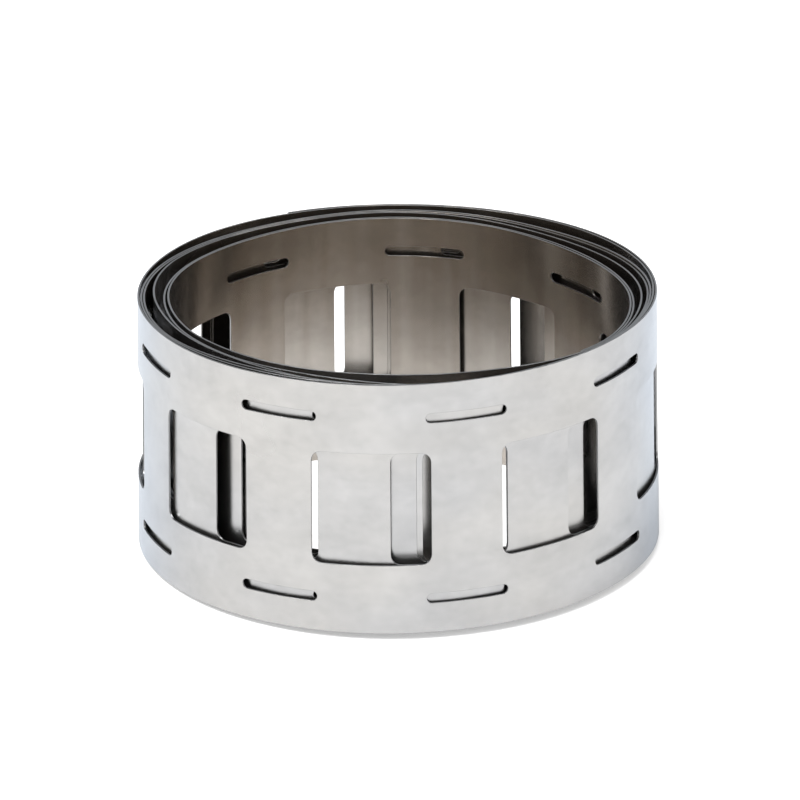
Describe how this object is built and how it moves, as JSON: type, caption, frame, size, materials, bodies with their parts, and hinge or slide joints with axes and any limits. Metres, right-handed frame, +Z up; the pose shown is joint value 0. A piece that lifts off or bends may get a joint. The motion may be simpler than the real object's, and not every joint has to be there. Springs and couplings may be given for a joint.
{
  "type": "nickel strip coil",
  "caption": "Loose standing coil of thin nickel strip, punched as a ladder of rails and rungs with square windows and weld slits, for joining battery cells side by side and end to end.",
  "frame": {"origin": "middle of the coil's box, on the floor that the coil stands on", "axes": "+Z up, along the coil's axis; +X to the right and +Y to the back, as the picture shows the coil"},
  "size_m": [0.0506, 0.0496, 0.0255],
  "materials": {
    "nickel": "satin rolled nickel"
  },
  "bodies": {
    "root": {"nickel_strip": "nickel"}
  },
  "joints": []
}
